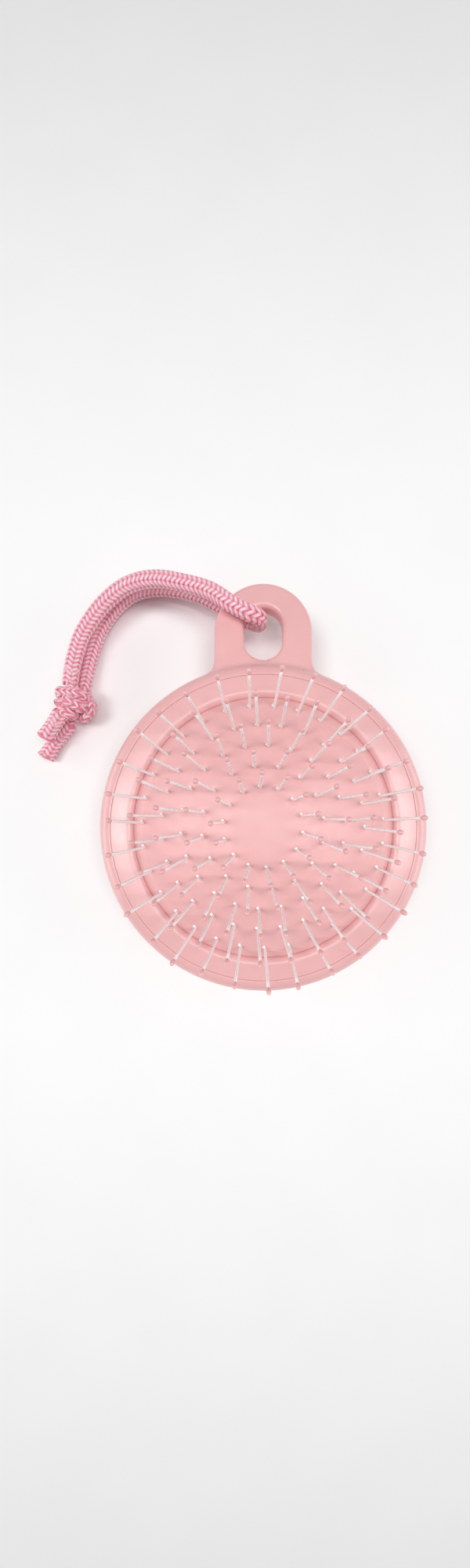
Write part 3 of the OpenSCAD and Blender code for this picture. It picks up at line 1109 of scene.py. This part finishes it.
@dataclass
class OverhandKnot:
    """Both strands of the loop tied together in one overhand knot and drawn tight."""

    radius: float = 7.1
    strand_r: float = 1.95
    turn: float = 105.0
    side_step: float = 1.7
    spread: float = 1.6
    rise: float = 2.7
    open_turn: float = 0.8
    rounds: int = 260
    step: float = 0.6

    def lay_out(self, middle: np.ndarray) -> list:
        """Threads the two strands loosely through the knot.

        Args:
            middle: the knot's centre.

        Returns:
            Two paths, each from the end of a leg to the start of a tail, about the centre.
        """
        first = 5 * math.pi / 3 - self.open_turn
        t = np.linspace(first, -math.pi / 3 + self.open_turn, 26)
        flat = np.stack([np.sin(t) + 2 * np.sin(2 * t), np.cos(t) - 2 * np.cos(2 * t)], 1)
        c, s = math.cos(math.radians(self.turn)), math.sin(math.radians(self.turn))
        flat = flat @ np.array([[c, s], [-s, c]])
        core = np.column_stack([flat * self.spread, -self.rise * np.sin(3 * t)])
        heading = np.gradient(core[:, :2], axis=0)
        heading /= np.linalg.norm(heading, axis=1)[:, None]
        aside = np.column_stack([heading[:, 1], -heading[:, 0], np.zeros(len(t))])
        strands = []
        for leg, tail, side in ((FRONT_LEG, UPPER_TAIL, 1), (BACK_LEG, LOWER_TAIL, -1)):
            run = core + side * self.side_step * aside
            ends = [np.array(leg[-2:]) - middle, np.array(tail[:2]) - middle]
            strands.append(even_steps(np.vstack([ends[0], run, ends[1]]), self.step))
        return strands

    def tighten(self, strands: list) -> list:
        """Draws the strands tight until they press on each other.

        Args:
            strands: the two loose paths.

        Returns:
            The two paths, with their ends where they were.
        """
        points = np.vstack(strands)
        count = len(strands[0])
        strand = np.arange(len(points)) >= count
        index = np.arange(len(points))
        apart = np.abs(index[:, None] - index[None, :]) * self.step
        rival = (strand[:, None] != strand[None, :]) | (apart > 3.4 * self.strand_r)
        lead = max(2, round(5.0 / self.step))
        hold = np.zeros(len(points), bool)
        for start, end in ((0, count), (count, len(points))):
            hold[start : start + lead] = hold[end - lead : end] = True
        fixed = points[hold].copy()
        inner = np.nonzero(~hold)[0]
        for turn in range(self.rounds):
            soft = 0.45 if turn < self.rounds - 40 else 0.25
            points[inner] += soft * ((points[inner - 1] + points[inner + 1]) / 2 - points[inner])
            for _ in range(3):
                gap = points[:, None, :] - points[None, :, :]
                far = np.sqrt((gap**2).sum(-1)) + 1e-9
                press = np.where(rival, np.clip(2 * self.strand_r - far, 0, 1.0), 0)
                push = (gap / far[..., None] * press[..., None]).sum(1)
                points += 0.5 * push / np.maximum((press > 0).sum(1), 1)[:, None] * 1.4
                room = self.radius - self.strand_r
                out = np.linalg.norm(points, axis=1)
                pull = np.clip(out - room, 0, None) / np.maximum(out, 1e-9)
                points[inner] -= 0.6 * points[inner] * pull[inner][:, None]
                points[hold] = fixed
        return [points[:count], points[count:]]

    def paths(self, middle: np.ndarray, step: float) -> list:
        """Returns the tight strands' centrelines in place, evenly spaced."""
        tight = self.tighten(self.lay_out(middle))
        return [smooth_route(strand[::3] + middle, step) for strand in tight]


@dataclass
class Cord:
    """The braided loop: two legs, a knot and two heat-cut tails."""

    yarn: bpy.types.Material
    core: bpy.types.Material
    braid: Braid = field(default_factory=Braid)
    end_flare: float = 0.14
    squeeze: float = 0.76
    squeeze_run: float = 4.0

    def braided(self, name: str, paths: Iterable, extra: Sequence = ()) -> bpy.types.Object:
        """Makes one braided piece.

        Args:
            name: the object's name.
            paths: (path, swell) pairs, one for each run of cord in the piece.
            extra: shells that take the core's finish, such as a melted end.

        Returns:
            The object, with its yarn coordinates and both materials.
        """
        shells, corners, lifts = [], [], []
        for path, swell in paths:
            points, faces, uv, lift = self.braid.yarns(path, swell)
            shells.append((points, faces))
            corners += uv
            lifts.append(lift)
        yarn_faces = sum(len(shell[1]) for shell in shells)
        shells += [self.braid.core(path, swell) for path, swell in paths]
        points, faces = join(*shells, *extra)
        mesh = bpy.data.meshes.new(name)
        mesh.from_pydata((points * MM).tolist(), [], faces)
        layer = mesh.uv_layers.new(name="yarn")
        uv = np.zeros((len(mesh.loops), 2), np.float32)
        uv[: len(corners)] = corners
        layer.data.foreach_set("uv", uv.ravel())
        height = np.zeros(len(mesh.vertices), np.float32)
        height[: sum(map(len, lifts))] = np.concatenate(lifts)
        mesh.attributes.new("lift", "FLOAT", "POINT").data.foreach_set("value", height)
        mesh.materials.append(self.yarn)
        mesh.materials.append(self.core)
        slots = np.zeros(len(mesh.polygons), np.int32)
        slots[yarn_faces:] = 1
        mesh.polygons.foreach_set("material_index", slots)
        mesh.polygons.foreach_set("use_smooth", [True] * len(mesh.polygons))
        mesh.update()
        return add_object(name, mesh)

    @staticmethod
    def declare(made: bpy.types.Object, node: str) -> bpy.types.Object:
        """Returns the piece, with the node that it replaces hidden and the piece riding on the
        housing's body.
        """
        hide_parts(node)
        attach(made, Body.HOUSING.value)
        return made

    def leg(self, name: str, route: Sequence, node: str, others: Sequence) -> bpy.types.Object:
        """Builds and declares one leg of the loop."""
        path = smooth_route(route, self.braid.step)
        made = self.declare(self.braided(name, [(path, np.ones(len(path)))]), node)
        return made

    def tail(self, name: str, route: Sequence, node: str) -> bpy.types.Object:
        """Builds one tail, flared a little where heat has sealed its end."""
        path = smooth_route(route, self.braid.step)
        share = np.linspace(0, 1, len(path))
        swell = 1 + self.end_flare * np.clip((share - 0.6) / 0.4, 0, 1) ** 2
        end = self.melted_end(path, swell[-1])
        return self.declare(self.braided(name, [(path, swell)], [end]), node)

    def melted_end(self, path: np.ndarray, swell: float) -> tuple:
        """Returns the skin of fused yarn that closes a heat-cut end."""
        heading = path[-1] - path[-3]
        heading /= np.linalg.norm(heading)
        runs = np.array([-1.1, -0.5, -0.1, 0.25, 0.5, 0.62])
        radii = np.array([0.72, 0.9, 0.97, 0.95, 0.8, 0.5]) * self.braid.diameter / 2 * swell
        points, faces = tube(path[-1] + runs[:, None] * heading, radii, 40)
        lumps = np.sin(points * 3.1) @ np.array([1.0, 0.8, 1.3])
        return points + (0.06 * lumps)[:, None] * heading, faces

    def knot(self) -> bpy.types.Object:
        """Builds the overhand knot."""
        low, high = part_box("cord_knot")
        middle = (np.array(low) + np.array(high)) / 2 / MM
        runs = []
        for path in OverhandKnot().paths(middle, self.braid.step):
            ends = np.minimum(np.arange(len(path)), np.arange(len(path))[::-1]) * self.braid.step
            easing = np.clip(1 - ends / self.squeeze_run, 0, 1) ** 2
            runs.append((path, self.squeeze + (1 - self.squeeze) * easing))
        return self.declare(self.braided("braided_knot", runs), "cord_knot")

    def build(self) -> list:
        """Returns every piece of the cord."""
        knot = self.knot()
        upper = self.tail("upper_tail", UPPER_TAIL, "cord_upper_tail")
        lower = self.tail("lower_tail", LOWER_TAIL, "cord_lower_tail")
        front = self.leg("front_leg", FRONT_LEG, "cord_front_leg", [knot, upper, lower])
        back = self.leg("back_leg", BACK_LEG, "cord_back_leg", [])
        return [knot, upper, lower, front, back]


# ---- Studio ----


@dataclass(frozen=True)
class SoftBox:
    """A rectangular lamp: where it hangs, its sides and its power, in metres and watts."""

    name: str
    place: tuple
    sides: tuple
    power: float
    aim_z: float = 0.0

    def build(self) -> None:
        """Adds the lamp, aimed at the Z axis."""
        data = bpy.data.lights.new(self.name, "AREA")
        data.shape = "RECTANGLE"
        data.size, data.size_y = self.sides
        data.energy = self.power
        made = add_object(self.name, data)
        made.location = self.place
        way = Vector((0, 0, self.aim_z)) - Vector(self.place)
        made.rotation_euler = way.to_track_quat("-Z", "Y").to_euler()


@dataclass
class Studio:
    """Pale floor, soft lights from both sides and a camera straight above the pins."""

    camera_x: float = -2.6
    camera_y: float = 2.9
    camera_above: float = 105.0
    lens: float = 7.56
    shift: tuple = (-0.013, 0.022)
    sky: float = 0.27
    floor_half_m: float = 3.0
    floor_drop_m: float = 0.0002
    lamps: tuple = (
        SoftBox("left_box", (-0.25, 0.0, 0.57), (0.18, 0.26), 1.2),
        SoftBox("right_box", (0.25, 0.0, 0.57), (0.18, 0.26), 1.16),
        SoftBox("top_box", (0.0, 0.02, 0.6), (0.14, 0.14), 0.3),
        SoftBox("left_wall", (-0.7, 0.0, 0.22), (0.7, 0.3), 1.6, 0.02),
        SoftBox("right_wall", (0.7, 0.0, 0.22), (0.7, 0.3), 1.6, 0.02),
    )

    def camera(self) -> None:
        """Adds the camera, looking straight down."""
        _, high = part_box("housing")
        data = bpy.data.cameras.new("overhead")
        data.lens = self.lens
        data.sensor_width = 36
        data.shift_x, data.shift_y = self.shift
        data.clip_start, data.clip_end = 0.005, 20
        made = add_object("overhead", data)
        made.location = (self.camera_x * MM, self.camera_y * MM, high.z + self.camera_above * MM)
        bpy.context.scene.camera = made

    def floor(self) -> None:
        """Adds the pale floor."""
        half = self.floor_half_m
        corners = [(-half, -half, 0), (half, -half, 0), (half, half, 0), (-half, half, 0)]
        mesh = bpy.data.meshes.new("floor")
        mesh.from_pydata(corners, [], [(0, 1, 2, 3)])
        s = Shader("floor")
        s.set(
            Base_Color=s.mix(s.noise(30.0), (0.93, 0.93, 0.93, 1), (0.97, 0.97, 0.97, 1)),
            Roughness=0.9,
            Specular_IOR_Level=0.1,
        )
        mesh.materials.append(s.material)
        made = add_object("floor", mesh)
        made.location.z = -self.floor_drop_m

    def build(self) -> None:
        """Sets up the whole studio."""
        self.camera()
        self.floor()
        world = bpy.data.worlds.new("studio")
        world.use_nodes = True
        background = world.node_tree.nodes["Background"]
        background.inputs[0].default_value = (1, 1, 1, 1)
        background.inputs[1].default_value = self.sky
        bpy.context.scene.world = world
        bpy.context.scene.view_settings.view_transform = "Standard"
        for lamp in self.lamps:
            lamp.build()


# ---- Finishes and assembly ----


SHELL = MouldedFinish(
    "satin_pink_shell", (0.93, 0.715, 0.715), (0.92, 0.7, 0.702), 0.3,
    gloss_spread=0.03, subsurface=0.1, subsurface_mm=1.2, specular=0.9,
)
RING = replace(SHELL, name="satin_pink_ring")
RUBBER = MouldedFinish(
    "soft_pink_rubber", (0.935, 0.72, 0.72), (0.925, 0.708, 0.708), 0.4,
    mottle_mm=9.0, grain_mm=0.5, wave_mm=6.0, wave_depth_mm=0.08,
    subsurface=0.15, subsurface_mm=1.5, specular=0.6,
)
NYLON = MouldedFinish(
    "milky_nylon", (0.985, 0.975, 0.975), (0.97, 0.95, 0.952), 0.3,
    mottle_mm=5.0, grain_mm=0.2, grain_depth_mm=0.001, wave_mm=3.0, wave_depth_mm=0.002,
)
RESIN = MouldedFinish(
    "dipped_resin", (0.94, 0.735, 0.735), (0.91, 0.69, 0.695), 0.22,
    mottle_mm=1.2, grain_mm=0.15, grain_depth_mm=0.002, wave_mm=0.8, wave_depth_mm=0.006,
    subsurface=0.15, subsurface_mm=0.4, coat=0.6,
)
# The first colour is the painted highlight streak; the last is the yarn's deep pink, which also
# paints shade where the yarn dives.
YARN = YarnFinish("braid_yarn", (0.97, 0.91, 0.935), (0.94, 0.63, 0.7), (0.94, 0.5, 0.58))
CORE = MouldedFinish(
    "braid_core", (0.93, 0.56, 0.63), (0.92, 0.48, 0.56), 0.5,
    mottle_mm=1.0, grain_mm=0.2, grain_depth_mm=0.03,
)


def dress(piece: bpy.types.Object, material: bpy.types.Material, body: str) -> None:
    """Gives a piece its only material and the body that it rides on."""
    piece.data.materials.clear()
    piece.data.materials.append(material)
    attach(piece, body)
    LOG.info("%s: %d faces", piece.name, len(piece.data.polygons))


def press_share(field: PinField) -> tuple:
    """Returns how much of its height the cushion keeps when pressed, and its fixed height."""
    joint = next(j for j in frame["joints"] if j["name"] == "ring_1_press")
    anchor = joint["deforming_nodes"][0]["fixed_end_z_m"]
    rise = field.height(field.radius(field.rings[0])) * MM - anchor
    return 1 - joint["range_m"][1] / rise, anchor


def main() -> None:
    """Builds the brush, piece by piece, and the studio round it."""
    logging.basicConfig(level=logging.INFO, format="%(name)s: %(message)s")
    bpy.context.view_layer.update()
    Studio().build()
    for piece in Cord(YARN.build(), CORE.build()).build():
        LOG.info("%s: %d faces", piece.name, len(piece.data.polygons))

    dress(Housing().build(), SHELL.build(), Body.HOUSING.value)
    dress(RetainingRing().build(), RING.build(), Body.HOUSING.value)

    field_of_pins = PinField()
    cushion = Cushion(field_of_pins).build()
    dress(cushion, RUBBER.build(), Body.HOUSING.value)
    keep, anchor = press_share(field_of_pins)
    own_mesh(cushion)

    maker = PinMaker(field_of_pins)
    nylon, resin = NYLON.build(), RESIN.build()
    for ring in field_of_pins.rings:
        dress(maker.build_pins(ring, nylon), nylon, Body.pins(ring.number))
        dress(maker.build_tips(ring, resin), resin, Body.pins(ring.number))


if __name__ == "__main__":
    main()
